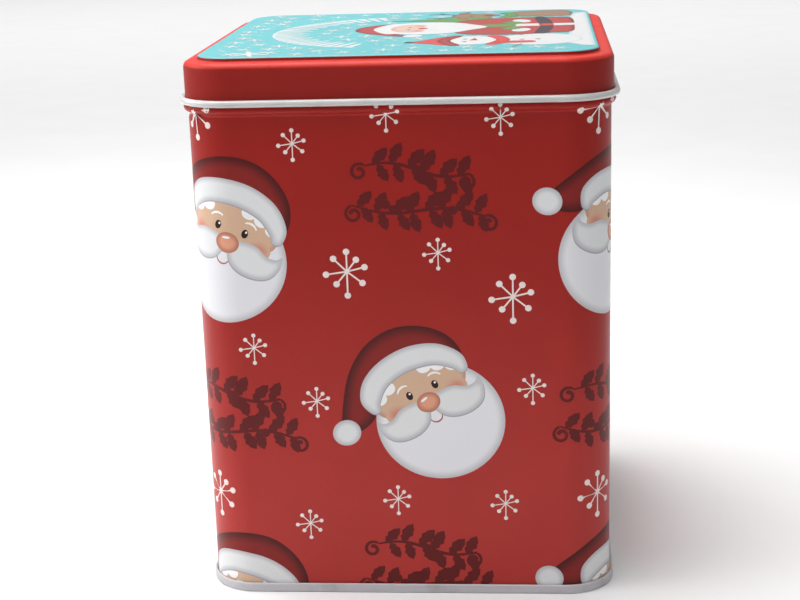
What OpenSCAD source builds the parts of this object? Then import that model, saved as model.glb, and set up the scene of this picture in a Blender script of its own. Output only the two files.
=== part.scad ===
// Tall square slip-lid tin of thin tinplate.
// body_wrap: one sheet rolled into a square tube, with a side seam, a stop bead and a curled mouth.
// base_panel: the bottom end, recessed and double-seamed round the foot of the tube.
// lid: one drawn sheet with a raised panel, a ledge, a straight skirt and an outward curl.
// Origin at the centre of the footprint on the ground, +Z up, front face towards -Y.

/* [Overall] */
// Width across the flat walls
body_w = 120; // [90:1:160]
// Height from the ground to the top of the lid
total_h = 160; // [110:1:220]
// Outside radius of the upright corners
corner_r = 13.5; // [12:0.5:20]
// Thickness of the tinplate
sheet_t = 0.25; // [0.2:0.01:0.27]

/* [Lid] */
// Height of the lid from the foot of its curl to its top
lid_h = 13.3; // [12:0.1:16]
// Gap between the neck and the inside of the skirt
lid_gap = 0.45; // [0.3:0.05:0.6]
// Outside diameter of the curl round the foot of the skirt
curl_d = 2; // [1.8:0.1:2.4]
// Outside radius where the skirt turns into the ledge
shoulder_r = 1.8; // [1.4:0.1:2.2]
// Distance from the wall line in to the riser of the raised panel
riser_in = 3.4; // [3:0.1:5]
// Height of the raised panel above the ledge
riser_h = 1.4; // [1.2:0.1:2]

/* [Body] */
// How far the stop bead stands out from the wall
bead_out = 1.3; // [1:0.1:1.4]
// Outside radius of the stop bead
bead_r = 1.4; // [1.3:0.1:1.6]
// Radius of the fillets above and below the bead
bead_fillet = 1; // [0.8:0.1:1.2]
// Outside diameter of the inward curl at the mouth
mouth_curl_d = 1.8; // [1.6:0.1:2]
// Height of the neck's top edge below the underside of the ledge
mouth_drop = 2.4; // [2:0.1:3]
// How far the foot of the wall flares out
foot_flare = 0.2; // [0:0.05:0.3]

/* [Base] */
// Height of the double seam
seam_h = 2.8; // [2.8:0.1:3.4]
// Clearance between the folded layers of the seam
seam_gap = 0.05; // [0.05:0.01:0.08]
// Height of the base plate's top face before the embossed step
base_z = 4.2; // [4:0.1:6]
// Height of the embossed step in the base plate
base_step = 0.8; // [0.6:0.1:1.2]

/* [Side seam] */
// Width of the folded side seam inside the back wall
lock_w = 4; // [3:0.5:6]
// Depth of the folded side seam inside the wall
lock_d = 0.5; // [0.4:0.1:0.6]

/* [Hidden] */
$fn = 72;
eps = 0.01;
half = body_w / 2;
t = sheet_t;
g = seam_gap;

// lid heights
plate_top = total_h;
ledge_top = plate_top - riser_h;
curl_r = curl_d / 2;
curl_z = total_h - lid_h + curl_r;
curl_u = lid_gap + curl_r;
riser_r = riser_h / 2;

// the bead sits where the lid's curl comes to rest on it
bead_rise = sqrt(pow(bead_fillet + bead_r, 2) - pow(bead_fillet + bead_r - bead_out, 2));
bead_u = bead_out - bead_r;
rest_gap = 0.05;
rest_reach = curl_r + bead_r + rest_gap;
bead_z = curl_z - sqrt(pow(rest_reach, 2) - pow(curl_u - bead_u, 2));
bead_tilt = atan2(bead_rise, bead_out - bead_r - bead_fillet);

// mouth
mouth_r = mouth_curl_d / 2;
mouth_z = ledge_top - t - mouth_drop - mouth_r;

// foot and double seam
flare_top = 8;
flare_foot = 3.2;
s = foot_flare;
fold_in = g + t / 2;
fold_out = g + 1.5 * t;
body_turn_z = t + g + fold_out;
end_turn_z = seam_h - fold_out;
land_r = t + 0.2;
base_turn_r = 0.8;
step_r = base_step / 2;
step_in = 8;

// ---- helpers: every profile has x = distance out from the wall line, y = height ----

// part of a ring of sheet between two angles
module bend(x, y, r_in, r_out, a0, a1) {
    steps = 6;
    wedge = [for (i = [0:steps]) let (a = a0 + (a1 - a0) * i / steps)
        [2 * r_out * cos(a), 2 * r_out * sin(a)]];
    translate([x, y])
        intersection() {
            difference() {
                circle(r = r_out);
                circle(r = r_in);
            }
            polygon(concat([[0, 0]], wedge));
        }
}

// upright or level length of sheet
module strip(x0, y0, x1, y1) {
    translate([x0, y0])
        square([x1 - x0, y1 - y0]);
}

// carries a profile round the four sides and corners
module round_square() {
    side = body_w - 2 * corner_r;
    for (k = [0:3])
        rotate([0, 0, 90 * k]) {
            translate([half, 0, 0])
                rotate([90, 0, 0])
                    linear_extrude(height = side, center = true)
                        children();
            translate([half - corner_r, half - corner_r, 0])
                rotate_extrude(angle = 90)
                    translate([corner_r, 0])
                        children();
        }
}

// flat plate whose edge lies at distance u from the wall line
module plate(u, z0, z1) {
    r = corner_r + u;
    a = half + u;
    translate([0, 0, z0])
        linear_extrude(height = z1 - z0)
            union() {
                square([2 * a, 2 * (a - r)], center = true);
                square([2 * (a - r), 2 * a], center = true);
                for (x = [-1, 1], y = [-1, 1])
                    translate([x * (a - r), y * (a - r)])
                        circle(r = r);
            }
}

// ---- profiles ----

module body_profile() {
    // body hook, folded out and up inside the double seam
    strip(s + 2 * g + t, body_turn_z, s + 2 * g + 2 * t, end_turn_z - 0.15);
    bend(s + fold_in, body_turn_z, fold_in, fold_out, 180, 360);
    strip(s - t, body_turn_z, s, flare_foot);
    // foot flaring in to the wall
    polygon([[s - t, flare_foot], [s, flare_foot], [0, flare_top], [-t, flare_top]]);
    strip(-t, flare_top, 0, bead_z - bead_rise);
    // stop bead
    bend(bead_fillet, bead_z - bead_rise, bead_fillet, bead_fillet + t, bead_tilt, 180);
    bend(bead_u, bead_z, bead_r - t, bead_r, bead_tilt - 180, 180 - bead_tilt);
    bend(bead_fillet, bead_z + bead_rise, bead_fillet, bead_fillet + t, 180, 360 - bead_tilt);
    // neck and the inward curl of the mouth
    strip(-t, bead_z + bead_rise, 0, mouth_z);
    bend(-mouth_r, mouth_z, mouth_r - t, mouth_r, 0, 250);
}

module base_profile() {
    // end hook and outer wall of the double seam
    strip(s + g, body_turn_z + 0.2, s + g + t, end_turn_z);
    bend(s + 2 * g + 1.5 * t, end_turn_z, fold_in, fold_out, 0, 180);
    strip(s + 3 * g + 2 * t, land_r, s + 3 * g + 3 * t, end_turn_z);
    // land that the tin stands on
    bend(s + 3 * g + 3 * t - land_r, land_r, land_r - t, land_r, 270, 360);
    strip(s - 2 * t - g + land_r, 0, s + 3 * g + 3 * t - land_r, t);
    bend(s - 2 * t - g + land_r, land_r, land_r - t, land_r, 180, 270);
    // inner wall up to the recessed plate
    strip(s - 2 * t - g, land_r, s - t - g, base_z - base_turn_r);
    bend(s - t - g - base_turn_r, base_z - base_turn_r, base_turn_r - t, base_turn_r, 0, 90);
    strip(-step_in + step_r, base_z - t, s - t - g - base_turn_r, base_z);
    // embossed step
    bend(-step_in + step_r, base_z + step_r, step_r, step_r + t, 180, 270);
    bend(-step_in - step_r, base_z + step_r, step_r - t, step_r, 0, 90);
}

module lid_profile() {
    // outward curl
    bend(curl_u, curl_z, curl_r - t, curl_r, 180, 490);
    // skirt and shoulder
    strip(lid_gap, curl_z, lid_gap + t, ledge_top - shoulder_r);
    bend(lid_gap + t - shoulder_r, ledge_top - shoulder_r, shoulder_r - t, shoulder_r, 0, 90);
    // ledge
    strip(-riser_in + riser_r, ledge_top - t, lid_gap + t - shoulder_r, ledge_top);
    // riser of the raised panel
    bend(-riser_in + riser_r, ledge_top + riser_r, riser_r, riser_r + t, 180, 270);
    bend(-riser_in - riser_r, ledge_top + riser_r, riser_r - t, riser_r, 0, 90);
}

// ---- nodes ----

module body_wrap() {
    lock_z0 = flare_top;
    lock_z1 = bead_z - bead_rise;
    color([0.55, 0.12, 0.1])
        difference() {
            union() {
                round_square()
                    body_profile();
                // folded side seam inside the back wall
                translate([-lock_w / 2, half - t - lock_d, lock_z0])
                    cube([lock_w, lock_d + t / 2, lock_z1 - lock_z0]);
            }
            // fine line outside where the seam's edge lies
            translate([lock_w / 2 - 0.15, half - 0.1, lock_z0])
                cube([0.3, 1, lock_z1 - lock_z0]);
        }
}

module base_panel() {
    color([0.85, 0.86, 0.88]) {
        round_square()
            base_profile();
        plate(-step_in - step_r + eps, base_z + base_step - t, base_z + base_step);
    }
}

module lid() {
    color([0.5, 0.1, 0.09]) {
        round_square()
            lid_profile();
        plate(-riser_in - riser_r + eps, plate_top - t, plate_top);
    }
}

body_wrap();
base_panel();
lid();
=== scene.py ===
"""Looks of a tall square cookie tin: pressed sheet shells, printed figures, flakes and sprigs."""
import math
import random

import bpy
import numpy as np
from mathutils import Matrix, Vector
from mathutils.geometry import delaunay_2d_cdt


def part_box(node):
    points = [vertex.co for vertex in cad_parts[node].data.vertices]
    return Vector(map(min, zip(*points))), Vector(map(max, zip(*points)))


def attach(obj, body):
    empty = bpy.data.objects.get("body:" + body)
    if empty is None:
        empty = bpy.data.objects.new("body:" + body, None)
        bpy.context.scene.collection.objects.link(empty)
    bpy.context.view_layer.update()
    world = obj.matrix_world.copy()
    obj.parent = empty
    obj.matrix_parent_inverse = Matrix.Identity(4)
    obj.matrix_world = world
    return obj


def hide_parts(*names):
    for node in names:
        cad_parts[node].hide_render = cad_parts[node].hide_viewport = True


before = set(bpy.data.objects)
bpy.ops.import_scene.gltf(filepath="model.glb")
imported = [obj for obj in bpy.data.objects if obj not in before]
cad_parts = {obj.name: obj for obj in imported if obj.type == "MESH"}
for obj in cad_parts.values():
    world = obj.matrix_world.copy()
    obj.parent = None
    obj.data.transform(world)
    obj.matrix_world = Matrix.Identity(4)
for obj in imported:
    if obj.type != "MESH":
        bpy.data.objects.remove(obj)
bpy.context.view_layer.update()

MM = 0.001

# ---------------------------------------------------------------- sizes, in mm
# The wall line is the outside of the plain wall, seen from above.
LID_LOW, LID_HIGH = (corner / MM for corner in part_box("lid"))
BASE_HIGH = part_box("base_panel")[1] / MM
SHEET = 0.25                    # thickness of the tinplate
LID_GAP = 0.45                  # between the wall line and the inside of the lid's skirt
CURL_D = 2.0                    # the round curl along the lid's lower edge
HALF = LID_HIGH.x - LID_GAP - CURL_D    # from the middle of the tin to the wall line
TOP = LID_HIGH.z
CORNER = 13.5                   # radius of the upright corners
SIDE = HALF - CORNER            # half of a wall's flat stretch
ARC = CORNER * math.pi / 2
QUARTER = 2 * SIDE + ARC        # a quarter of the way round the wall line
CORNER_STEPS, SIDE_STEPS, LONGEST = 20, 12, 6.0     # how finely the sheet is divided

INK = 0.028                     # how far a print layer stands proud of the sheet
SHOULDER_R = 1.8
RISER_IN, RISER_H = 3.4, 1.4    # the step from the ledge up to the panel with the picture
PANEL_TOP = TOP - INK
LEDGE_TOP = TOP - RISER_H
RISER_RED = 35                  # degrees of the riser's upper bend that are still red
CURL_R = CURL_D / 2
CURL_Z = LID_LOW.z + CURL_R
CURL_U = LID_GAP + CURL_R
CURL_END = 130                  # direction of the curl's free end from its middle, in degrees

BEAD_OUT, BEAD_R, BEAD_FILLET = 1.3, 1.4, 1.0   # the bead that the lid's curl comes down on
REST_GAP = 0.05                 # between that bead and the curl
BEAD_RISE = math.sqrt((BEAD_FILLET + BEAD_R) ** 2 - (BEAD_FILLET + BEAD_R - BEAD_OUT) ** 2)
BEAD_U = BEAD_OUT - BEAD_R
BEAD_Z = CURL_Z - math.sqrt((CURL_R + BEAD_R + REST_GAP) ** 2 - (CURL_U - BEAD_U) ** 2)
BEAD_TURN = math.degrees(math.acos(1 - BEAD_OUT / (BEAD_FILLET + BEAD_R)))
MOUTH_R = 0.9                   # the inward curl at the tin's mouth
MOUTH_GAP = 2.4                 # between that curl and the underside of the lid's ledge
MOUTH_Z = LEDGE_TOP - SHEET - MOUTH_GAP - MOUTH_R
NECK_EDGE = 149.5               # above this the neck is left unprinted

SEAM_H, SEAM_GAP = 2.8, 0.05    # the double seam round the foot
FLARE = 0.2                     # how far the wall leans out at the foot
FLARE_FOOT, FLARE_TOP, FLARE_EASE = 3.2, 8.0, 0.6
FOLD_MID = SEAM_GAP + SHEET     # radius of a fold's middle line
BODY_TURN_Z = SHEET + SEAM_GAP + FOLD_MID + SHEET / 2
END_TURN_Z = SEAM_H - FOLD_MID - SHEET / 2
BODY_HOOK_SHORT, END_HOOK_SHORT = 0.15, 0.2     # how far each hook stops short of the other's fold
LAND_R = SHEET + 0.2            # bends on either side of the seam's lower edge
BASE_STEP, BASE_TURN_R, STEP_IN = 0.8, 0.8, 8.0     # the plate's raised middle
BASE_TOP = BASE_HIGH.z - BASE_STEP


# ---------------------------------------------------------------- sheet profiles
class Path:
    """The middle line of a bent sheet, drawn like a pen stroke: u is the distance out from the wall
    line, z the height, and the heading 0 points out and 90 up."""

    def __init__(self, u, z, heading):
        self.points = [(u, z, heading)]
        self.marks = {}

    def go(self, length):
        u, z, h = self.points[-1]
        n = max(1, math.ceil(length / LONGEST))
        a = math.radians(h)
        for i in range(1, n + 1):
            d = length * i / n
            self.points.append((u + d * math.cos(a), z + d * math.sin(a), h))
        return self

    def turn(self, radius, degrees, step):
        """Turns left for a positive angle and right for a negative one, in steps of about step
        degrees."""
        u, z, h = self.points[-1]
        side = 1 if degrees > 0 else -1
        a = math.radians(h)
        cu, cz = u - side * radius * math.sin(a), z + side * radius * math.cos(a)
        n = max(2, math.ceil(abs(degrees) / step))
        for i in range(1, n + 1):
            b = math.radians(h + degrees * i / n)
            self.points.append((cu + side * radius * math.sin(b),
                                cz - side * radius * math.cos(b), h + degrees * i / n))
        return self

    def mark(self, name):
        self.marks[name] = len(self.points) - 1
        return self


def body_path():
    """From the hook inside the double seam, up the wall, over the bead and round the mouth."""
    u0, z0 = FLARE + 2 * SEAM_GAP + 1.5 * SHEET, END_TURN_Z - BODY_HOOK_SHORT
    path = Path(u0, z0, -90).go(z0 - BODY_TURN_Z).turn(FOLD_MID, -180, 15)
    path.go(FLARE_FOOT - BODY_TURN_Z)
    lean = math.degrees(math.atan2(FLARE, FLARE_TOP - FLARE_FOOT))
    path.points[-1] = path.points[-1][:2] + (90 + lean / 2,)
    path.points.append((-SHEET / 2, FLARE_TOP, 90 + lean / 2))
    path.points.append((-SHEET / 2, FLARE_TOP + FLARE_EASE, 90))
    path.go(BEAD_Z - BEAD_RISE - FLARE_TOP - FLARE_EASE)
    path.turn(BEAD_FILLET + SHEET / 2, -BEAD_TURN, 6)
    path.turn(BEAD_R - SHEET / 2, 2 * BEAD_TURN, 6)
    path.turn(BEAD_FILLET + SHEET / 2, -BEAD_TURN, 6)
    path.go(NECK_EDGE - BEAD_Z - BEAD_RISE).mark("unprinted")
    return path.go(MOUTH_Z - NECK_EDGE).turn(MOUTH_R - SHEET / 2, 250, 12)


def base_path():
    """From the hook inside the double seam, round the foot and up to the recessed plate."""
    u0 = FLARE + SEAM_GAP + SHEET / 2
    path = Path(u0, BODY_TURN_Z + END_HOOK_SHORT, 90)
    path.go(END_TURN_Z - BODY_TURN_Z - END_HOOK_SHORT)
    path.turn(FOLD_MID, -180, 15).go(END_TURN_Z - LAND_R)
    path.turn(LAND_R - SHEET / 2, -90, 15)
    path.go(5 * SHEET + 4 * SEAM_GAP - 2 * LAND_R)      # the seam is five sheets thick
    path.turn(LAND_R - SHEET / 2, -90, 15)
    path.go(BASE_TOP - BASE_TURN_R - LAND_R).turn(BASE_TURN_R - SHEET / 2, 90, 10)
    step_r = BASE_STEP / 2
    path.go(path.points[-1][0] + STEP_IN - step_r)
    path.turn(step_r + SHEET / 2, -90, 15)
    return path.turn(step_r - SHEET / 2, 90, 15)


def lid_path():
    """From the free end of the curl, round it, up the skirt and in to the raised panel."""
    mid = CURL_R - SHEET / 2
    a = math.radians(CURL_END)
    path = Path(CURL_U + mid * math.cos(a), CURL_Z + mid * math.sin(a), CURL_END - 90)
    path.turn(mid, -180 - CURL_END, 12)
    path.go(LEDGE_TOP - SHOULDER_R - CURL_Z)
    path.turn(SHOULDER_R - SHEET / 2, 90, 7)
    riser_r = (PANEL_TOP - LEDGE_TOP) / 2
    path.go(path.points[-1][0] + RISER_IN - riser_r)
    path.turn(riser_r + SHEET / 2, -90, 8)
    path.turn(riser_r - SHEET / 2, RISER_RED, 8).mark("panel")
    return path.turn(riser_r - SHEET / 2, 90 - RISER_RED, 8)


def stations():
    """Points on the wall line with their outward direction, once round the tin."""
    out = []
    for quarter in range(4):
        turn = Matrix.Rotation(quarter * math.pi / 2, 2)
        for i in range(SIDE_STEPS):
            x = -SIDE + 2 * SIDE * i / SIDE_STEPS
            out.append((turn @ Vector((x, -HALF)), turn @ Vector((0, -1))))
        for i in range(CORNER_STEPS):
            a = math.pi / 2 * i / CORNER_STEPS
            n = Vector((math.sin(a), -math.cos(a)))
            out.append((turn @ (Vector((SIDE, -SIDE)) + n * CORNER), turn @ n))
    return out


def new_object(name, verts, faces, inks, face_ink, normals=None):
    """A mesh object. face_ink gives each face's place in inks."""
    mesh = bpy.data.meshes.new(name)
    mesh.from_pydata([tuple(v) for v in verts], [], faces)
    for material in inks:
        mesh.materials.append(material)
    mesh.polygons.foreach_set("material_index", face_ink)
    mesh.polygons.foreach_set("use_smooth", [True] * len(faces))
    mesh.update()
    if normals is not None:
        mesh.normals_split_custom_set_from_vertices(normals)
    obj = bpy.data.objects.new(name, mesh)
    bpy.context.scene.collection.objects.link(obj)
    return obj


def sweep(name, path, inks, ink_of, plate=False):
    """A closed shell of bent sheet round the tin. ink_of(side, index) gives the place in inks of a
    strip of the profile. With plate, both sides close with a flat plate at the path's last point."""
    n = len(path.points)
    rim = []
    for side, line in ((1, path.points), (-1, path.points[::-1])):
        for u, z, h in line:
            a = math.radians(h)
            nu, nz = side * math.sin(a), -side * math.cos(a)
            rim.append((u + nu * SHEET / 2, z + nz * SHEET / 2, nu, nz))
    strip_ink = [ink_of("outer", i) for i in range(n - 1)]
    strip_ink += [ink_of("inner", i) for i in reversed(range(n))] + [ink_of("inner", 0)]
    ring = stations()
    verts, normals = [], []
    for base, out in ring:
        for u, z, nu, nz in rim:
            verts.append(((base.x + out.x * u) * MM, (base.y + out.y * u) * MM, z * MM))
            normals.append((out.x * nu, out.y * nu, nz))
    faces, face_ink = [], []
    m, count = len(rim), len(ring)
    for k in range(count):
        a, b = k * m, (k + 1) % count * m
        for j in range(m):
            if plate and j == n - 1:
                continue
            i = (j + 1) % m
            faces.append((a + j, b + j, b + i, a + i))
            face_ink.append(strip_ink[j])
    if plate:
        loop = [k * m + n - 1 for k in range(count)]
        faces += [tuple(loop), tuple(i + 1 for i in reversed(loop))]
        face_ink += [ink_of("outer", n - 2), ink_of("inner", n - 2)]
    return new_object(name, verts, faces, inks, face_ink, normals)


# ---------------------------------------------------------------- materials
LIGHT, TOP_LIGHT = 0.78, 2.05   # light falling on the front face and on the lid
HAZE = 0.012                    # what the gloss adds to both
PAINT_MOST, PAINT_LEAST = 0.9, 0.003    # the lightest and the darkest that paint can be


def paint(r, g, b, light=LIGHT):
    """Albedo, as linear RGBA, of a colour given as it looks under that light, 0 to 255."""
    out = []
    for c in (r, g, b):
        c /= 255
        lin = c / 12.92 if c <= 0.04045 else ((c + 0.055) / 1.055) ** 2.4
        out.append(min(PAINT_MOST, max(PAINT_LEAST, (lin - HAZE) / light)))
    return tuple(out) + (1,)


class Nodes:
    """Short names for building a node tree."""

    def __init__(self, name):
        self.material = bpy.data.materials.new(name)
        self.material.use_nodes = True
        self.tree = self.material.node_tree
        self.shader = self.tree.nodes["Principled BSDF"]
        self.coords = self.tree.nodes.new("ShaderNodeTexCoord").outputs["Object"]

    def add(self, kind, **settings):
        node = self.tree.nodes.new(kind)
        for key, value in settings.items():
            setattr(node, key, value)
        return node

    def link(self, a, b):
        self.tree.links.new(a, b)

    def noise(self, scale, detail, roughness=0.55):
        """Noise with scale in features per millimetre."""
        node = self.add("ShaderNodeTexNoise")
        for key, number in (("Scale", scale / MM), ("Detail", detail), ("Roughness", roughness)):
            node.inputs[key].default_value = number
        self.link(self.coords, node.inputs["Vector"])
        return node.outputs["Fac"]

    def height(self):
        """Height above the floor, in metres."""
        node = self.add("ShaderNodeSeparateXYZ")
        self.link(self.coords, node.inputs[0])
        return node.outputs["Z"]

    def remap(self, value, a, b, c, d, smooth=False):
        """The value's range a to b becomes c to d."""
        node = self.add("ShaderNodeMapRange")
        node.interpolation_type = "SMOOTHSTEP" if smooth else "LINEAR"
        for key, number in zip(("From Min", "From Max", "To Min", "To Max"), (a, b, c, d)):
            node.inputs[key].default_value = number
        self.link(value, node.inputs["Value"])
        return node.outputs["Result"]

    def mix(self, fac, a, b, blend="MIX"):
        node = self.add("ShaderNodeMix", data_type="RGBA", blend_type=blend)
        for socket, value in ((node.inputs["Factor"], fac), (node.inputs["A"], a),
                              (node.inputs["B"], b)):
            if isinstance(value, (tuple, float, int)):
                socket.default_value = value
            else:
                self.link(value, socket)
        return node.outputs["Result"]

    def compute(self, operation, a, b):
        node = self.add("ShaderNodeMath", operation=operation)
        self.link(a, node.inputs[0])
        self.link(b, node.inputs[1])
        return node.outputs[0]

    def grain(self, depth):
        """The fine mottle of printing ink, from 1 - depth to 1 + depth."""
        return self.remap(self.noise(2.2, 2.0, 0.7), 0.25, 0.75, 1 - depth, 1 + depth)

    def grey(self, value):
        node = self.add("ShaderNodeCombineColor")
        for i in range(3):
            self.link(value, node.inputs[i])
        return node.outputs[0]

    def bump(self, layers):
        """layers: (height, depth in mm) pairs."""
        normal = None
        for height, depth in layers:
            node = self.add("ShaderNodeBump")
            node.inputs["Strength"].default_value = 1.0
            node.inputs["Distance"].default_value = depth * MM
            self.link(height, node.inputs["Height"])
            if normal:
                self.link(normal, node.inputs["Normal"])
            normal = node.outputs["Normal"]
        self.link(normal, self.shader.inputs["Normal"])


def lacquer(n, rough=0.38, shine=0.26):
    """The satin lacquer over everything printed: slow dents, fine orange peel, uneven gloss."""
    n.bump([(n.noise(0.018, 1.0), 0.3), (n.noise(1.6, 2.0), 0.0006)])
    gloss = n.remap(n.noise(0.05, 4.0), 0.25, 0.75, rough - 0.035, rough + 0.045, True)
    n.link(gloss, n.shader.inputs["Roughness"])
    n.shader.inputs["Specular IOR Level"].default_value = shine


def printed(name, core, rim=None, width=1.0, grain=0.05, light=LIGHT):
    """Ink whose colour runs from rim at a shape's outline to core at width mm inside it."""
    n = Nodes(name)
    core = paint(*core, light)
    if rim:
        edge = n.add("ShaderNodeAttribute", attribute_name="edge").outputs["Fac"]
        colour = n.mix(n.remap(edge, 0, width, 0, 1, True), paint(*rim, light), core)
    else:
        colour = n.mix(n.remap(n.noise(0.08, 2.0), 0.25, 0.75, 0.0, 1.0, True),
                       tuple(c * 0.96 for c in core[:3]) + (1,), core)
    speckle = n.grey(n.grain(grain))
    n.link(n.mix(1.0, colour, speckle, "MULTIPLY"), n.shader.inputs["Base Color"])
    lacquer(n)
    return n.material


def enamel(name, colour, dirt, rough=0.38, shine=0.26):
    """White base coat on the unprinted side, a little grubby."""
    n = Nodes(name)
    patches = n.remap(n.noise(0.12, 5.0, 0.6), 0.45, 0.75, 0.0, 1.0, True)
    specks = n.remap(n.noise(1.1, 3.0, 0.7), 0.66, 0.74, 0.0, 0.35, True)
    base = n.mix(patches, paint(*colour), paint(*dirt))
    dark = tuple(c * 0.55 for c in paint(*dirt)[:3]) + (1,)
    n.link(n.mix(specks, base, dark), n.shader.inputs["Base Color"])
    lacquer(n, rough, shine)
    return n.material


def wall_red(name, foot, head):
    """The body's red, darker towards the top and lighter towards the foot, where painted light stands
    in for the bounce off the floor.
    """
    n = Nodes(name)
    # painted light: the red turns lighter towards the foot, as if lit from the floor below
    painted_bounce_light = n.remap(n.height(), 10 * MM, 120 * MM, 0, 1, True)
    colour = n.mix(painted_bounce_light, paint(*foot), paint(*head))
    patch = n.remap(n.noise(0.06, 3.0), 0.25, 0.75, 0.97, 1.03, True)
    shade = n.grey(n.compute("MULTIPLY", n.grain(0.05), patch))
    n.link(n.mix(1.0, colour, shade, "MULTIPLY"), n.shader.inputs["Base Color"])
    lacquer(n)
    return n.material


def lid_red(name, skirt, ledge):
    """The lid's red lacquer, with painted top light making it lighter over the shoulder and the
    ledge, and painted shade keeping the riser as dark as the skirt."""
    n = Nodes(name)
    shoulder = [(LEDGE_TOP - part * SHOULDER_R) * MM for part in (0.85, 0.4)]
    riser = [(LEDGE_TOP + above) * MM for above in (0.15, 0.45)]
    painted_light_past_skirt = n.remap(n.height(), *shoulder, 0, 1, True)
    free_of_riser_shade = n.remap(n.height(), *riser, 1, 0, True)
    patches = n.remap(n.noise(0.3, 3.0), 0.3, 0.75, 0.0, 0.14, True)
    mottled = n.mix(patches, paint(*ledge), paint(*skirt))
    # painted light over the shoulder and the ledge, and painted shade on the riser
    painted_ledge_light = n.compute("MINIMUM", painted_light_past_skirt, free_of_riser_shade)
    n.link(n.mix(painted_ledge_light, paint(*skirt), mottled), n.shader.inputs["Base Color"])
    lacquer(n, 0.42, 0.13)
    return n.material


def lid_ink(name, *colours, grain=0.03):
    """Ink on the lid, which lies in stronger light."""
    return printed(name, *colours, grain=grain, light=TOP_LIGHT)


# the lighter red at the foot is painted light bounced up from the floor
WALL_RED = wall_red("print_wall_red", (159, 52, 48), (139, 36, 31))
# the lighter ledge red is painted top light, and the riser keeps the skirt's red as painted shade
LID_RED = lid_red("print_lid_red", (132, 43, 40), (172, 54, 48))
LID_SKY = lid_ink("print_lid_sky", (128, 224, 231))
WHITE_COAT = enamel("white_coat", (180, 180, 179), (172, 172, 171), 0.2, 0.5)
WHITE_FOOT = enamel("white_foot", (178, 175, 179), (160, 157, 160))
WHITE_INSIDE = enamel("white_inside", (200, 200, 197), (193, 192, 188), 0.42)

INKS = {
    "cap": printed("ink_cap", (120, 39, 37), (72, 26, 24), 3.8),
    "fur": printed("ink_fur", (202, 203, 204), (172, 172, 176), 1.9, 0.025),
    "fur_shade": printed("ink_fur_shade", (150, 146, 156)),
    "beard": printed("ink_beard", (206, 206, 210), (176, 175, 178), 2.6, 0.02),
    "skin": printed("ink_skin", (190, 158, 134), (176, 136, 114), 2.0, 0.04),
    "cheek": printed("ink_cheek", (190, 108, 100), (189, 154, 131), 3.4, 0.04),
    "nose": printed("ink_nose", (200, 142, 118), (168, 110, 90), 1.8, 0.04),
    "dark": printed("ink_dark", (46, 16, 18)),
    "line": printed("ink_line", (150, 82, 68)),
    "sprig": printed("ink_sprig", (90, 31, 26), grain=0.1),
    "flake": printed("ink_flake", (214, 202, 198), grain=0.03),
    "gleam": printed("ink_gleam", (222, 222, 224), grain=0.02),
    "white": lid_ink("ink_white", (255, 255, 255), grain=0.02),
    "snow": lid_ink("ink_snow", (255, 255, 255), (222, 242, 245), 1.4, grain=0.02),
    "lid_coat": lid_ink("ink_lid_coat", (206, 84, 80), (158, 60, 58), 2.0),
    "lid_scarf": lid_ink("ink_lid_scarf", (244, 92, 86), (222, 74, 70), 1.2),
    "lid_skin": lid_ink("ink_lid_skin", (250, 214, 200), (240, 186, 172), 2.0),
    "lid_cheek": lid_ink("ink_lid_cheek", (240, 150, 144), (248, 205, 192), 2.4),
    "green": lid_ink("ink_green", (122, 176, 100), (98, 152, 84), 1.4),
    "brown": lid_ink("ink_brown", (184, 144, 118), (160, 120, 98), 2.0),
    "black": lid_ink("ink_black", (84, 72, 76)),
    "sky_white": lid_ink("ink_sky_white", (246, 254, 254)),
}


# ---------------------------------------------------------------- outlines, in mm
def pts(*pairs):
    """Points as an array."""
    return np.array(pairs, dtype=float)


def ellipse(cx, cy, rx, ry=None, turn=0.0, steps=None):
    """An ellipse, or a circle where ry is left out."""
    ry = rx if ry is None else ry
    steps = steps or int(min(72, max(16, 20 * max(rx, ry) ** 0.5)))
    t = np.linspace(0, 2 * math.pi, steps, endpoint=False)
    a = math.radians(turn)
    x, y = rx * np.cos(t), ry * np.sin(t)
    return np.stack([cx + x * math.cos(a) - y * math.sin(a),
                     cy + x * math.sin(a) + y * math.cos(a)], 1)


def catmull_rom(a, b, c, d, steps):
    """Points from b to just before c, on a smooth curve through a, b, c and d."""
    out = []
    for k in range(steps):
        t = k / steps
        out.append(0.5 * (2 * b + (c - a) * t + (2 * a - 5 * b + 4 * c - d) * t ** 2
                          + (3 * b - a - 3 * c + d) * t ** 3))
    return out


def smooth_loop(p, steps=8):
    """Closed curve through the points."""
    n = len(p)
    out = []
    for i in range(n):
        out += catmull_rom(p[i - 1], p[i], p[(i + 1) % n], p[(i + 2) % n], steps)
    return np.array(out)


def smooth_line(p, steps=8):
    """Open curve through the points."""
    p = np.vstack([2 * p[0] - p[1], p, 2 * p[-1] - p[-2]])
    out = []
    for i in range(1, len(p) - 2):
        out += catmull_rom(*p[i - 1:i + 3], steps)
    return np.array(out + [p[-2]])


FINE_END = 0.12                 # up to this half width a stroke's end is plain


def brush(line, widths):
    """Pen stroke along a line, as a chain of short pieces with round ends. widths are given
    at even distances from start to end."""
    step = np.hypot(*np.diff(line, axis=0).T)
    run = np.concatenate([[0], np.cumsum(step)]) / step.sum()
    w = np.interp(run, np.linspace(0, 1, len(widths)), widths) / 2
    d = np.gradient(line, axis=0)
    d /= np.hypot(d[:, 0], d[:, 1])[:, None]
    side = np.stack([-d[:, 1], d[:, 0]], 1) * w[:, None]
    left, right = line + side, line - side
    shapes = [np.array([right[i], right[i + 1], left[i + 1], left[i]])
              for i in range(len(line) - 1)]
    for i in (0, -1):
        if w[i] > FINE_END:
            shapes.append(ellipse(*line[i], w[i], steps=12))
    return shapes


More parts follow.
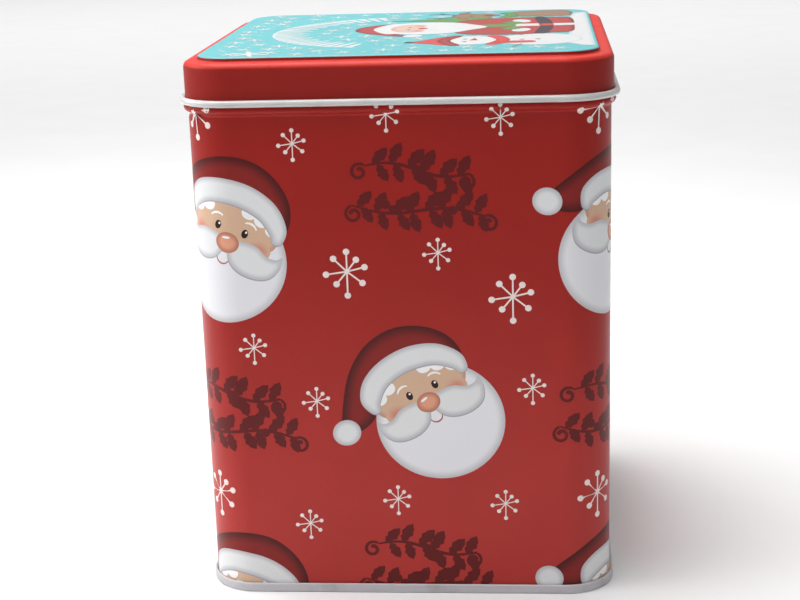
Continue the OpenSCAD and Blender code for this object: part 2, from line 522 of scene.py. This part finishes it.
def arc_line(cx, cy, r, a0, a1, steps=14):
    """Part of a circle, as an open line."""
    t = np.radians(np.linspace(a0, a1, steps))
    return np.stack([cx + r * np.cos(t), cy + r * np.sin(t)], 1)


def moved(shape, dx, dy, turn=0.0):
    """The shape turned about the origin, then moved."""
    a = math.radians(turn)
    c, s = math.cos(a), math.sin(a)
    x, y = shape[:, 0], shape[:, 1]
    return np.stack([dx + c * x - s * y, dy + s * x + c * y], 1)


class Drawing:
    """Outlines with their inks, in the order they are drawn. What one put draws is one shape,
    whose colour runs in from its whole outline."""

    def __init__(self):
        self.layers = []
        self.count = 0

    def put(self, ink, *shapes):
        self.count += 1
        self.layers += [(ink, shape, self.count) for shape in shapes]


# ---------------------------------------------------------------- print drawn on the sheet
def around(s, u):
    """Point and outward direction at s mm along the wall line from the front's middle, u mm out."""
    quarter = math.floor((s + QUARTER / 2) / QUARTER)
    local = s - quarter * QUARTER
    if abs(local) <= SIDE:
        p, n = Vector((local, -HALF - u)), Vector((0, -1))
    else:
        side = math.copysign(1, local)
        a = (abs(local) - SIDE) / CORNER
        n = Vector((side * math.sin(a), -math.cos(a)))
        p = Vector((side * SIDE, -SIDE)) + n * (CORNER + u)
    turn = Matrix.Rotation(quarter * math.pi / 2, 2)
    return turn @ p, turn @ n


def wall_out(z):
    """How far the outside of the body stands out from the wall line at height z, and its slope."""
    if z <= FLARE_FOOT:
        return FLARE, 0.0
    if z <= FLARE_TOP:
        return FLARE * (FLARE_TOP - z) / (FLARE_TOP - FLARE_FOOT), -FLARE / (FLARE_TOP - FLARE_FOOT)
    d = abs(z - BEAD_Z)
    if d >= BEAD_RISE:
        return 0.0, 0.0
    side = -1 if z > BEAD_Z else 1
    if d < BEAD_R * math.sin(math.radians(BEAD_TURN)):
        r = math.sqrt(BEAD_R ** 2 - d ** 2)
        return BEAD_U + r, side * d / r
    e = BEAD_RISE - d
    r = math.sqrt(BEAD_FILLET ** 2 - e ** 2)
    return BEAD_FILLET - r, side * e / r


def on_wall(s, z, lift):
    """Point s mm along and z mm up the body, lift mm off its surface, and the direction off it."""
    u, slope = wall_out(z)
    p, n = around(s, u)
    long = math.hypot(1, slope)
    normal = Vector((n.x / long, n.y / long, -slope / long))
    return Vector((p.x, p.y, z)) + normal * lift, normal


def on_lid(p, q, lift):
    """The lid picture stands with its top towards -X and its right side towards +Y."""
    return Vector((-q, p, PANEL_TOP + lift)), Vector((0, 0, 1))


GRID_START, ROW_STEP = (0.21, 0.37), 0.87       # a grid of even triangles, off the round numbers
INSIDE_ONLY, MERGE = 1, 1e-5    # what delaunay_2d_cdt keeps, and how near points are one
SLIVER = 1e-7                   # twice the area below which a triangle is left out


def cut_layers(layers, spacing, floor):
    """Cuts overlapping outlines into triangles. The last outline drawn wins. spacing, if there is
    one, is that of the extra points inside, and nothing is left below floor. Gives the points, the
    triangles and each triangle's layer."""
    points, faces = [], []
    for _, shape, _ in layers:
        x, y = shape[:, 0], shape[:, 1]
        if (x * np.roll(y, -1) - np.roll(x, -1) * y).sum() < 0:
            shape = shape[::-1]
        faces.append(list(range(len(points), len(points) + len(shape))))
        points.extend(map(tuple, shape))
    allp = np.array(points)
    low, high = allp.min(0), allp.max(0)
    edges = []
    if floor is not None and low[1] < floor:
        cut = [(x, floor) for x in np.arange(low[0] - 1, high[0] + 1 + spacing, spacing)]
        edges = [(len(points) + i, len(points) + i + 1) for i in range(len(cut) - 1)]
        points.extend(cut)
    if spacing:
        y, row = math.floor(low[1]) + GRID_START[1], 0
        while y < high[1]:
            x = math.floor(low[0]) + GRID_START[0] + (row % 2) * spacing / 2
            while x < high[0]:
                points.append((x, y))
                x += spacing
            y += spacing * ROW_STEP
            row += 1
    verts, _, tris, _, _, sources = delaunay_2d_cdt(
        [Vector(p) for p in points], edges, faces, INSIDE_ONLY, MERGE)
    verts = np.array([(v.x, v.y) for v in verts])
    keep, owner = [], []
    for tri, source in zip(tris, sources):
        if not source:
            continue
        a, b, c = verts[list(tri)]
        area = (b[0] - a[0]) * (c[1] - a[1]) - (c[0] - a[0]) * (b[1] - a[1])
        if abs(area) < SLIVER:
            continue
        if floor is not None and (a[1] + b[1] + c[1]) / 3 < floor:
            continue
        keep.append(tuple(tri) if area > 0 else tuple(reversed(tri)))
        owner.append(max(source))
    return verts, keep, owner


def outline_distance(points, shapes):
    """Distance from each point to the nearest of the outlines."""
    best = np.full(len(points), 1e9)
    for shape in shapes:
        a, b = shape, np.roll(shape, -1, 0)
        d = b - a
        size = np.maximum((d ** 2).sum(1), 1e-12)
        rel = points[:, None, :] - a[None]
        t = np.clip((rel * d[None]).sum(2) / size, 0, 1)
        gap = rel - t[..., None] * d[None]
        best = np.minimum(best, np.sqrt((gap ** 2).sum(2)).min(1))
    return best


class Print:
    """Cut outlines that can be laid on the sheet more than once. edge holds the distance of each
    triangle's corners to the outline of their own shape, and border the sides with one triangle."""

    def __init__(self, layers, spacing=1.4, floor=None):
        verts, self.tris, owner = cut_layers(layers, spacing, floor)
        used = sorted({i for tri in self.tris for i in tri})
        index = {old: new for new, old in enumerate(used)}
        self.verts = verts[used]
        self.tris = [tuple(index[i] for i in tri) for tri in self.tris]
        self.inks = list(dict.fromkeys(layers[o][0] for o in owner))
        self.ink_of = [self.inks.index(layers[o][0]) for o in owner]
        groups = {}
        for _, shape, group in layers:
            groups.setdefault(group, []).append(shape)
        self.edge = np.zeros((len(self.tris), 3))
        corner_group = [layers[o][2] for o in owner]
        for group in set(corner_group):
            rows = [i for i, g in enumerate(corner_group) if g == group]
            corners = np.array([self.tris[i] for i in rows]).ravel()
            need, where = np.unique(corners, return_inverse=True)
            distance = outline_distance(self.verts[need], groups[group])
            self.edge[rows] = distance[where].reshape(-1, 3)
        sides = {}
        for t, tri in enumerate(self.tris):
            for k in range(3):
                a, b = tri[k], tri[(k + 1) % 3]
                if (b, a) in sides:
                    del sides[(b, a)]
                else:
                    sides[(a, b)] = t
        self.border = sides

    def lay(self, name, surface, body, along=0.0, lift=INK):
        """One closed thin shell of ink, moved along the surface and lift mm proud of it."""
        n = len(self.verts)
        top, low, normals = [], [], []
        for x, y in self.verts:
            point, normal = surface(x + along, y, lift)
            top.append(point * MM)
            low.append((point - normal * (lift + INK)) * MM)
            normals.append(normal)
        faces = self.tris + [tuple(i + n for i in reversed(tri)) for tri in self.tris]
        ink = self.ink_of * 2
        for (a, b), t in self.border.items():
            faces.append((a + n, b + n, b, a))
            ink.append(self.ink_of[t])
        inks = [INKS[i] for i in self.inks]
        obj = new_object(name, top + low, faces, inks, ink, normals * 2)
        both = np.concatenate([self.edge.ravel(), self.edge[:, ::-1].ravel()])
        values = np.zeros(len(obj.data.loops))
        values[:len(both)] = both
        edge = obj.data.attributes.new("edge", "FLOAT", "CORNER")
        edge.data.foreach_set("value", values)
        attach(obj, body)
        return obj


# ---------------------------------------------------------------- motifs
FUR_SHADE = 0.38                # how far the shade under the fur shows


def figure(tilt, cx, cy, beard_at):
    """A plain bearded winter figure in a cap. The head is drawn upright about its nose, turned by
    tilt and put at (cx, cy). The beard is put there upright, with its middle at beard_at."""
    drawing = Drawing()

    def put(ink, *shapes, turn=tilt):
        drawing.put(ink, *[moved(shape, cx, cy, turn) for shape in shapes])

    def fluffy(shape):
        put("fur_shade", moved(shape, 0, -FUR_SHADE))
        put("fur", shape)

    put("cap", smooth_loop(pts((12.6, 6), (15.4, 9.6), (13.8, 16), (8.4, 21.4), (0.4, 24.4),
                               (-8.6, 23.2), (-16.4, 18.2), (-22.2, 11.0), (-26.2, 4.0), (-25.6, 0.8),
                               (-21.4, 0.6), (-16.8, 2.0), (-13, 5), (0, 9))))
    put("fur", ellipse(-25.8, 2.0, 4.2, 3.9))
    put("beard", ellipse(*beard_at, 18.7, 17.9), turn=0)

    put("skin", ellipse(-0.6, 4.8, 14.6, 8.0))
    for x in (-9.8, 9.2):
        put("cheek", ellipse(x, 0.6, 3.5, 2.9))
    put("gleam", *[ellipse(x, 10.5 - 0.024 * x * x, 2.2, 1.9) for x in (-12.4, -8.8, 3.6, 7.6, 11.4)])
    fluffy(smooth_loop(pts((-16.4, 4.2), (-17.6, 8.8), (-14.0, 14.0), (-6.8, 17.2), (2.0, 17.6),
                           (10.0, 14.8), (14.9, 9.4), (15.0, 4.8), (12.6, 3.8), (10.8, 6.4),
                           (6.2, 9.7), (-1.2, 11.0), (-8.2, 9.7), (-12.6, 6.2), (-14.0, 3.4))))
    for side in (-1, 1):
        put("dark", ellipse(side * 4.1, 4.0, 0.95, 1.3))
        put("gleam", ellipse(side * 4.1 + 0.28, 4.5, 0.34))
        brow = 90 - side * 16
        put("gleam", *brush(arc_line(side * 4.7, 4.9, 2.5, brow - 44, brow + 44), (0.4, 0.7, 0.4)))
        half = smooth_loop(pts((0.4, 0.4), (4.0, 1.6), (8.6, 1.4), (12.0, -0.4), (14.8, -0.4),
                               (16.4, 0.8), (16.6, -2.6), (14.6, -6.2), (10.6, -7.8), (5.6, -7.4),
                               (1.8, -4.8)))
        fluffy(half * pts((side, 1))[0])
    put("nose", ellipse(0, -0.1, 3.5, 3.0))
    put("gleam", ellipse(-0.8, 1.2, 1.2, 0.36, 14))
    put("line", *brush(arc_line(0, -4.7, 1.9, 196, 344), (0.3, 0.5, 0.3)))
    return drawing.layers


# Direction in degrees and length of each arm
FLAKE_ARMS = ((90, 0.82), (52, 0.62), (14, 0.74), (-38, 0.78), (-90, 1.0), (-130, 0.68),
              (-172, 0.86), (135, 0.76))


def flake(cx, cy, size):
    """A snowflake of eight thin arms with round tips."""
    shapes = []
    for angle, length in FLAKE_ARMS:
        a = math.radians(angle)
        end = pts((math.cos(a), math.sin(a)))[0] * size * length * 0.86
        shapes += brush(np.array([[0, 0], end]), (size * 0.058, size * 0.058))
        shapes.append(ellipse(*end, size * 0.116, steps=14))
    shapes.append(ellipse(0, 0, size * 0.07, steps=12))
    return [moved(shape, cx, cy) for shape in shapes]


def leaf(x, y, angle, length, width):
    """A holly leaf with three points on each side."""
    half = [(0, 0), (0.22, 0.36), (0.34, 0.3), (0.5, 0.5), (0.62, 0.38), (0.78, 0.34), (1, 0)]
    top = [(a * length, b * width) for a, b in half]
    low = [(a * length, -b * width) for a, b in reversed(half[1:-1])]
    return moved(np.array(top + low), x, y, angle)


def tendril(end, angle, way):
    """A stroke that sets off from end and curls up, to the left where way is 1."""
    t = np.linspace(0, 1, 26)
    turn = np.radians(angle + way * 400 * t)
    r = 1.9 * (1 - 0.62 * t)
    curl = np.stack([np.cumsum(r * np.cos(turn)), np.cumsum(r * np.sin(turn))], 1) * 0.36
    return brush(curl + end, (0.8, 1.0, 0.9, 1.2))


# Each row's start, end and height, how far it sways, which way first, its pairs of leaves and the
# direction of its first tendril
SPRIG_ROWS = ((-15, 14, 6.0, 1.3, 1, 6, 150), (-18.5, 18.5, -5.4, 1.4, -1, 8, 200))
SPRIG_STEPS, SPRIG_FALL, SPRIG_TILT = 30, 0.06, -2.0
BERRIES = ((-0.6, 5.2), (1.7, 6.4), (1.0, 3.6), (-9.2, -4.9), (-7.0, -6.3), (9.6, -6.2), (11.8, -5.0))


def sprig(cx, cy):
    """Two rows of holly leaves, berries and curling tendrils."""
    shapes = []
    for x0, x1, y, sway, way, count, angle in SPRIG_ROWS:
        xs = np.linspace(x0, x1, SPRIG_STEPS)
        phase = (xs - x0) / (x1 - x0) * math.pi * 2
        stem = np.stack([xs, y + sway * np.sin(phase) * way - SPRIG_FALL * (xs - x0)], 1)
        shapes += brush(stem, (0.5, 0.95, 1.0, 0.7))
        for i in range(count):
            px, py = stem[int((i + 0.5) / count * (SPRIG_STEPS - 1))]
            lean = 62 if i % 2 else 48
            size = 7.2 - 0.25 * abs(i - count / 2)
            shapes.append(leaf(px, py, lean, size, size * 0.56))
            shapes.append(leaf(px + 1.4, py, -lean - 8, size * 0.88, size * 0.52))
        shapes += tendril(stem[0], angle, 1) + tendril(stem[-1], angle - 180, -1)
    shapes += [ellipse(dx, dy, 1.35, steps=18) for dx, dy in BERRIES]
    drawing = Drawing()
    drawing.put("sprig", *[moved(shape, cx, cy, SPRIG_TILT) for shape in shapes])
    return drawing.layers


PICTURE_MARGIN = 0.3            # between the snowy bank and the panel's edge
PICTURE_HALF = HALF - RISER_IN - RISER_H / 2 - PICTURE_MARGIN
# The bunting: its string, where its pennants hang from and how far in they reach, and the ring
# of sky that the snow leaves free for it
STRING_R, PENNANT_R, PENNANT_REACH = 41.6, 41.4, (32.4, 30.6)
PENNANTS = 29
PENNANT_FROM, PENNANT_STEP, PENNANT_HALF = 17, 5.07, 2.05       # along the string, in degrees
BUNTING_LOW, BUNTING_HIGH = 29, 45


def star(cx, cy, r, turn):
    """A small six-armed snow star with a tick on each arm."""
    shapes = []
    for k in range(6):
        a = math.radians(turn + 60 * k)
        d = pts((math.cos(a), math.sin(a)))[0]
        shapes += brush(np.array([d * 0, d * r]), (r * 0.24, r * 0.24))
        for side in (-35, 35):
            b = a + math.radians(side)
            tip = d * r * 0.6 + pts((math.cos(b), math.sin(b)))[0] * r * 0.32
            shapes.append(np.vstack([d * r * 0.52, tip, d * r * 0.64]))
    return [moved(shape, cx, cy) for shape in shapes]


def inside(x, y, shape):
    """Whether a point lies inside an outline."""
    a, b = shape, np.roll(shape, -1, 0)
    cross = (a[:, 1] > y) != (b[:, 1] > y)
    a, b = a[cross], b[cross]
    return (x < a[:, 0] + (y - a[:, 1]) / (b[:, 1] - a[:, 1]) * (b[:, 0] - a[:, 0])).sum() % 2 == 1


# Size, room and number of the stars and of the dots between them
SNOW = ((2.7, 7.0, 90), (0.6, 4.0, 110))


def snowfall(sky, friends):
    """Small stars and dots over the sky, kept off the friends, the ground and the bunting."""
    outlines = [shape for _, shape, _ in friends]
    dice = random.Random(7)
    placed = []
    for r, room, wanted in SNOW:
        for _ in range(wanted * 30):
            if wanted == 0:
                break
            p, q = dice.uniform(-52, 52), dice.uniform(-46, 52)
            on_bunting = q > 8 and BUNTING_LOW - r < math.hypot(p, q) < BUNTING_HIGH + r
            if on_bunting or any(math.hypot(p - x, q - y) < (room + g) / 2 for x, y, g in placed):
                continue
            if (any(inside(p, q, shape) for shape in outlines)
                    or outline_distance(np.array([(p, q)]), outlines)[0] < r * 1.1 + 0.2):
                continue
            placed.append((p, q, room))
            wanted -= 1
            if r > 1:
                sky.put("sky_white", *star(p, q, r, dice.uniform(0, 60)))
            else:
                sky.put("sky_white", ellipse(p, q, r * dice.uniform(0.8, 1.3), steps=10))
    sky.put("white", *star(-49.6, 41.4, 5.4, 12))


def bunting(sky):
    """White pennants on a string, in a half circle over the friends."""
    sky.put("sky_white", *brush(arc_line(0, 0, STRING_R, 14, 162, 60), (0.7, 0.7)))
    wide = math.radians(PENNANT_HALF)
    for k in range(PENNANTS):
        a = math.radians(PENNANT_FROM + PENNANT_STEP * k)
        low = PENNANT_REACH[k % 2]
        corners = ((PENNANT_R, -wide), (PENNANT_R, wide), (low, wide * 0.5), (low, -wide * 0.5))
        sky.put("sky_white", pts(*[(r * math.cos(a + b), r * math.sin(a + b)) for r, b in corners]))


def lid_friends():
    """A snowy bank with a pine, a deer, a bearded figure and a snowman, all drawn simply."""
    drawing = Drawing()
    put = drawing.put
    # the pine, the bank and the deer
    put("green", smooth_loop(pts((28, 8), (31, -2), (35, -14), (36, -24), (20, -24), (22, -12),
                                 (25.4, -1)), 4))
    put("snow", np.vstack([smooth_line(pts((-44, -51.6), (-34, -46.6), (-18, -48.6), (0, -49.4),
                                           (20, -48.8), (34, -50.4), (43, -51.4))),
                           pts((45, -PICTURE_HALF), (-46, -PICTURE_HALF))]))
    put("brown", smooth_loop(pts((37, -50.4), (34, -42), (36, -32), (42, -29), (50, -32), (53, -42),
                                 (50.6, -50))))
    for side in (-1, 1):
        put("black", *brush(smooth_line(pts((40.5 + side * 3, -13), (40.5 + side * 6, -8.4),
                                            (40.5 + side * 5.4, -3.6)), 4), (1.3, 0.8)),
            *brush(pts((40.5 + side * 5.6, -8.8), (40.5 + side * 9.4, -7.2)), (0.9, 0.6)))
        put("brown", ellipse(40.5 + side * 8.4, -15.4, 3.4, 1.7, -side * 24))
    put("brown", smooth_loop(pts((34.2, -16), (37, -12), (44, -12), (46.8, -16), (45, -23.6),
                                 (40.5, -27.6), (36, -23.6))))
    put("lid_coat", ellipse(40.5, -23.6, 2.0, 1.6))
    for side in (-1, 1):
        put("black", ellipse(40.5 + side * 2.6, -17.8, 0.62, 0.9))
    put("green", smooth_loop(pts((34, -27), (40.5, -29.2), (47.4, -27), (48.4, -31), (40.5, -33.4),
                                 (33.4, -31))), ellipse(36.4, -35.4, 1.9, 4.4, 8))

    # the bearded figure
    put("lid_coat", smooth_loop(pts((-9, -15), (-14.2, -22), (-15.4, -33), (-12.6, -44), (-9.4, -50),
                                    (6, -51), (28, -50.4), (31.4, -45), (31.6, -32), (29.4, -21),
                                    (22, -14), (6, -11))))
    put("white", smooth_loop(pts((7, -20), (12.4, -20), (12.6, -50.6), (7.2, -50.6)), 3))
    put("black", smooth_loop(pts((-13, -38.6), (7, -40.4), (30.6, -38.6), (30.2, -42.6), (8, -44.6),
                                 (-12.2, -42.6)), 4))
    put("lid_scarf", ellipse(9.8, -42.4, 3.0, 2.5))
    for side in (-1, 1):
        put("white", ellipse(9 + side * 12.6, -34.6, 4.6, 2.8, side * 14))
        put("green", ellipse(9 + side * 7.4, -31.8, 4.0, 3.1, side * 20))
    put("green", smooth_loop(pts((6.6, -20), (12.6, -20), (13.2, -31), (9.6, -33), (6.2, -31)), 4))
    put("snow", smooth_loop(pts((-8.8, 2), (-10.6, -6), (-7.8, -13.6), (-1.4, -18.6), (6.4, -24),
                                (14.4, -19.2), (20.8, -13.4), (23, -5.6), (21, 2.6), (14, 8),
                                (-1, 8))))
    put("lid_skin", ellipse(6, -0.4, 10.4, 6.4))
    for side in (-1, 1):
        put("lid_cheek", ellipse(6 + side * 6.8, -2.8, 2.7, 2.1))
        put("black", *brush(arc_line(6 + side * 3.6, -0.6, 1.1, 20, 160, 8), (0.35, 0.6, 0.35)))
    put("white", smooth_loop(pts((6, -4.6), (1.6, -4.2), (-3.6, -6.8), (-1.2, -9.4), (6, -8.2),
                                 (13.2, -9.4), (15.6, -6.8), (10.4, -4.2))))
    put("lid_scarf", ellipse(6, -4.0, 1.9, 1.5))
    put("lid_coat", smooth_loop(pts((-5.6, 5), (-9.8, 1.8), (-14.6, -1.4), (-14.8, 1.6), (-10.6, 7.4),
                                    (-5, 13), (2.4, 16.8), (10, 16), (16.6, 11.4), (19, 5.6),
                                    (6, 9))))
    put("white", smooth_loop(pts((-7.4, 3.2), (-6.6, 7.2), (6, 11.4), (18.8, 7.2), (19.8, 3.2),
                                 (17.4, 2.2), (6, 6.6), (-5, 2.2))))
    put("white", ellipse(-14.2, -2.2, 3.1, 2.9))

    # the snowman
    put("snow", ellipse(-28, -40, 13.4, 12.6), ellipse(-28, -19.8, 10.4, 8.6))
    put("lid_scarf", smooth_loop(pts((-38, -24.6), (-28, -27.6), (-18, -24.6), (-17.2, -28.4),
                                     (-28, -31.6), (-38.8, -28.4))),
        smooth_loop(pts((-35.6, -28), (-31.6, -29), (-31.2, -38), (-35.8, -38)), 3))
    put("lid_scarf", smooth_loop(pts((-39, -14.6), (-36, -9.4), (-30.6, -2.6), (-26.2, -6),
                                     (-20, -10.6), (-17.4, -14.6), (-28, -11.8))))
    put("lid_coat", smooth_loop(pts((-39.8, -14.2), (-28, -10.4), (-16.6, -14.2), (-17.4, -17.4),
                                    (-28, -14.2), (-38.8, -17.4))))
    put("black", ellipse(-30.4, -2.4, 1.6))
    for dx, dy, r in ((-3.2, -18.4, 0.75), (3.2, -18.4, 0.75), (0, -35, 0.8), (0, -39.6, 0.8)):
        put("black", ellipse(-28 + dx, dy, r))
    put("lid_scarf", np.array([(-28.6, -19.6), (-22.4, -21.2), (-28.2, -22.2)]))
    put("brown", *brush(pts((-17, -35), (-11.6, -31.4)), (0.9, 0.6)),
        *brush(pts((-39, -35), (-45.4, -32.4)), (0.9, 0.6)))
    return drawing.layers


def lid_print():
    """The lid's picture in two pieces, the sky and the friends."""
    friends, sky = lid_friends(), Drawing()
    snowfall(sky, friends)
    bunting(sky)
    Print(sky.layers, None).lay("print_lid_snow", on_lid, "lid")
    Print(friends, 1.3).lay("print_lid_friends", on_lid, "lid")


FACES = ("front", "right", "back", "left")
TILE = QUARTER                  # the pattern repeats as a square tile, round the tin and downwards
PRINT_FOOT = SEAM_H - 0.3       # down in the groove between the wall and the seam's rim
# Places on a tile, along the wall and up: a head on the flat and one at the corner, each with its
# tilt and its beard, the sprigs, and the snowflakes
LOW_HEAD = (26, 7.3, 60.1, (3.4, -5.8))
HIGH_HEAD = (-20, 65.4, 108.2, (-1.9, -6.0))
FLAT_SPRIG, CORNER_SPRIG = (6.1, 123.2), (64.0, 57.2)
SMALL_FLAKE, LARGE_FLAKE = 5.3, 8.2
SMALL_FLAKES = ((-28.8, 135.6), (-2.4, 143.4), (29.2, 142.0), (11.1, 103.9), (-42.8, 76.1),
                (-25.2, 59.8), (37.4, 63.6))
LARGE_FLAKES = ((57.1, 143.9), (-14.9, 98.3), (32.0, 90.5))
LOWEST_FLAKE = 10               # a flake whose middle is lower is left out


def wall_flakes():
    """The snowflakes of one tile, and those of the tile below it that are on the wall."""
    spots = [(x, y, SMALL_FLAKE) for x, y in SMALL_FLAKES]
    spots += [(x, y, LARGE_FLAKE) for x, y in LARGE_FLAKES]
    spots += [(x, y - TILE, size) for x, y, size in spots if y - TILE > LOWEST_FLAKE]
    drawing = Drawing()
    for x, y, size in spots:
        drawing.put("flake", *flake(x, y + 0.12 * size, size))
    return drawing.layers


def wall_print():
    """One tile of print on each wall. What wraps a corner has closer points, to follow its bend."""
    tilt, x, y, beard_at = HIGH_HEAD
    low = Print(figure(*LOW_HEAD))
    high = Print(figure(*HIGH_HEAD), 1.0)
    foot = Print(figure(tilt, x, y - TILE, beard_at), 1.0, floor=PRINT_FOOT)
    x, y = FLAT_SPRIG
    flat_sprig = Print(sprig(x, y), 2.5)
    corner_sprig = Print(sprig(*CORNER_SPRIG), 1.0)
    foot_sprig = Print(sprig(x, y - TILE), 2.5, floor=PRINT_FOOT)
    flakes = Print(wall_flakes(), 1.0, floor=PRINT_FOOT)
    for i, face in enumerate(FACES):
        along = i * QUARTER
        low.lay(f"print_figure_{face}", on_wall, "tin", along)
        high.lay(f"print_figure_corner_{i + 1}", on_wall, "tin", along)
        foot.lay(f"print_cap_foot_{i + 1}", on_wall, "tin", along)
        flat_sprig.lay(f"print_sprig_{face}", on_wall, "tin", along)
        corner_sprig.lay(f"print_sprig_corner_{i + 1}", on_wall, "tin", along)
        foot_sprig.lay(f"print_sprig_foot_{face}", on_wall, "tin", along)
        flakes.lay(f"print_flakes_{face}", on_wall, "tin", along)


LOCK_W, LOCK_D = 4.0, 0.5       # the flattened fold
LOCK_SUNK = 0.02                # how far the fold reaches into the wall
LINE_HALF = 0.14                # half the width of the seam's line outside


def side_seam():
    """The body's lock seam: a flattened fold inside the back wall and a fine line outside."""
    low, high = FLARE_TOP, BEAD_Z - BEAD_RISE
    half = [(LOCK_W / 2 - 0.22, -LOCK_D), (LOCK_W / 2 - 0.08, -0.44), (LOCK_W / 2, -0.32),
            (LOCK_W / 2, LOCK_SUNK)]
    section = [(-x, y) for x, y in reversed(half)] + half
    n = len(section)
    verts = [(x * MM, (HALF - SHEET + y) * MM, z * MM) for z in (low, high) for x, y in section]
    faces = [(i, i + n, (i + 1) % n + n, (i + 1) % n) for i in range(n)]
    faces += [tuple(range(n)), tuple(reversed(range(n, 2 * n)))]
    fold = new_object("side_seam_fold", verts, faces, [WHITE_INSIDE], [0] * len(faces))
    fold.data.polygons.foreach_set("use_smooth", [False] * len(faces))
    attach(fold, "tin")
    left, right = (2 * QUARTER - LOCK_W / 2 + side for side in (-LINE_HALF, LINE_HALF))
    drawing = Drawing()
    drawing.put("sprig", pts((left, low), (right, low), (right, high), (left, high)))
    Print(drawing.layers, 3.0).lay("side_seam_line", on_wall, "tin", lift=1.7 * INK)


# ---------------------------------------------------------------- build
def ink_past(edge):
    """The first ink outside up to the edge, the second one past it, and the third inside."""
    return lambda side, i: 2 if side == "inner" else int(i >= edge)


path = body_path()
inks = [WALL_RED, WHITE_COAT, WHITE_INSIDE]
body_shell = sweep("body_wall", path, inks, ink_past(path.marks["unprinted"]))
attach(body_shell, "tin")
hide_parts("body_wrap")

base_shell = sweep("base_end", base_path(), [WHITE_FOOT], lambda side, i: 0, plate=True)
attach(base_shell, "tin")
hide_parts("base_panel")

path = lid_path()
inks = [LID_RED, LID_SKY, WHITE_COAT]
lid_shell = sweep("lid_shell", path, inks, ink_past(path.marks["panel"]), plate=True)
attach(lid_shell, "lid")
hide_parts("lid")

wall_print()
lid_print()
side_seam()


# ---------------------------------------------------------------- floor, lights, camera, in metres
FLOOR_HALF = 3.0
ROOM_LIGHT = 0.34
WASH_OUT, WASH_HEIGHT, WASH_AIM = 2.0, 1.4, 3.0     # lamps that light the floor far from the tin
SENSOR, FOCAL = 36, 72.18       # of the camera, in mm
EYE = (0.03884, -0.49702, 0.21512)
YAW, PITCH, ROLL = (math.radians(a) for a in (-5.083, 15.821, -1.827))


def area_light(name, place, aim, size, power):
    """A rectangular lamp at place that faces aim."""
    light = bpy.data.lights.new(name, "AREA")
    light.shape = "RECTANGLE"
    light.size, light.size_y = size
    light.energy = power
    obj = bpy.data.objects.new(name, light)
    obj.location = place
    obj.rotation_euler = (Vector(aim) - Vector(place)).to_track_quat("-Z", "Y").to_euler()
    bpy.context.scene.collection.objects.link(obj)


def floor():
    """The wide pale floor that the tin stands on."""
    mesh = bpy.data.meshes.new("floor")
    r = FLOOR_HALF
    mesh.from_pydata([(-r, -r, 0), (r, -r, 0), (r, r, 0), (-r, r, 0)], [], [(0, 1, 2, 3)])
    obj = bpy.data.objects.new("floor", mesh)
    bpy.context.scene.collection.objects.link(obj)
    n = Nodes("floor_paper")
    n.shader.inputs["Roughness"].default_value = 0.8
    shade = n.remap(n.noise(0.02, 2.0), 0.3, 0.7, 0.86, 0.88)
    n.link(n.grey(shade), n.shader.inputs["Base Color"])
    mesh.materials.append(n.material)


floor()
scene = bpy.context.scene
scene.view_settings.view_transform = "Standard"
world = bpy.data.worlds.new("studio")
world.use_nodes = True
world.node_tree.nodes["Background"].inputs["Color"].default_value = (1, 1, 1, 1)
world.node_tree.nodes["Background"].inputs["Strength"].default_value = ROOM_LIGHT
scene.world = world
area_light("top_softbox", (-0.12, 0.04, 0.62), (-0.08, 0.04, 0), (0.6, 0.42), 5.2)
area_light("left_window", (-0.5, -0.06, 0.36), (0, -0.03, 0.08), (0.4, 0.16), 1.6)
area_light("background_wash", (-0.2, 1.6, 1.4), (-0.2, 2.3, 0), (2.8, 1.6), 27.0)
for name, x, y in (("left", -1, 0), ("right", 1, 0), ("front", 0, -1)):
    place = (x * WASH_OUT, y * WASH_OUT, WASH_HEIGHT)
    area_light(f"{name}_wash", place, (x * WASH_AIM, y * WASH_AIM, 0), (1.6, 1.6), 20.0)

camera = bpy.data.cameras.new("camera")
camera.sensor_width = SENSOR
camera.lens = FOCAL
eye = bpy.data.objects.new("camera", camera)
forward = Vector((math.sin(YAW) * math.cos(PITCH), math.cos(YAW) * math.cos(PITCH), -math.sin(PITCH)))
right = Vector((math.cos(YAW), -math.sin(YAW), 0))
up = right.cross(forward)
across = math.cos(ROLL) * right + math.sin(ROLL) * up
upward = -math.sin(ROLL) * right + math.cos(ROLL) * up
columns = Matrix((across, upward, -forward)).transposed()
eye.matrix_world = Matrix.Translation(EYE) @ columns.to_4x4()
scene.collection.objects.link(eye)
scene.camera = eye
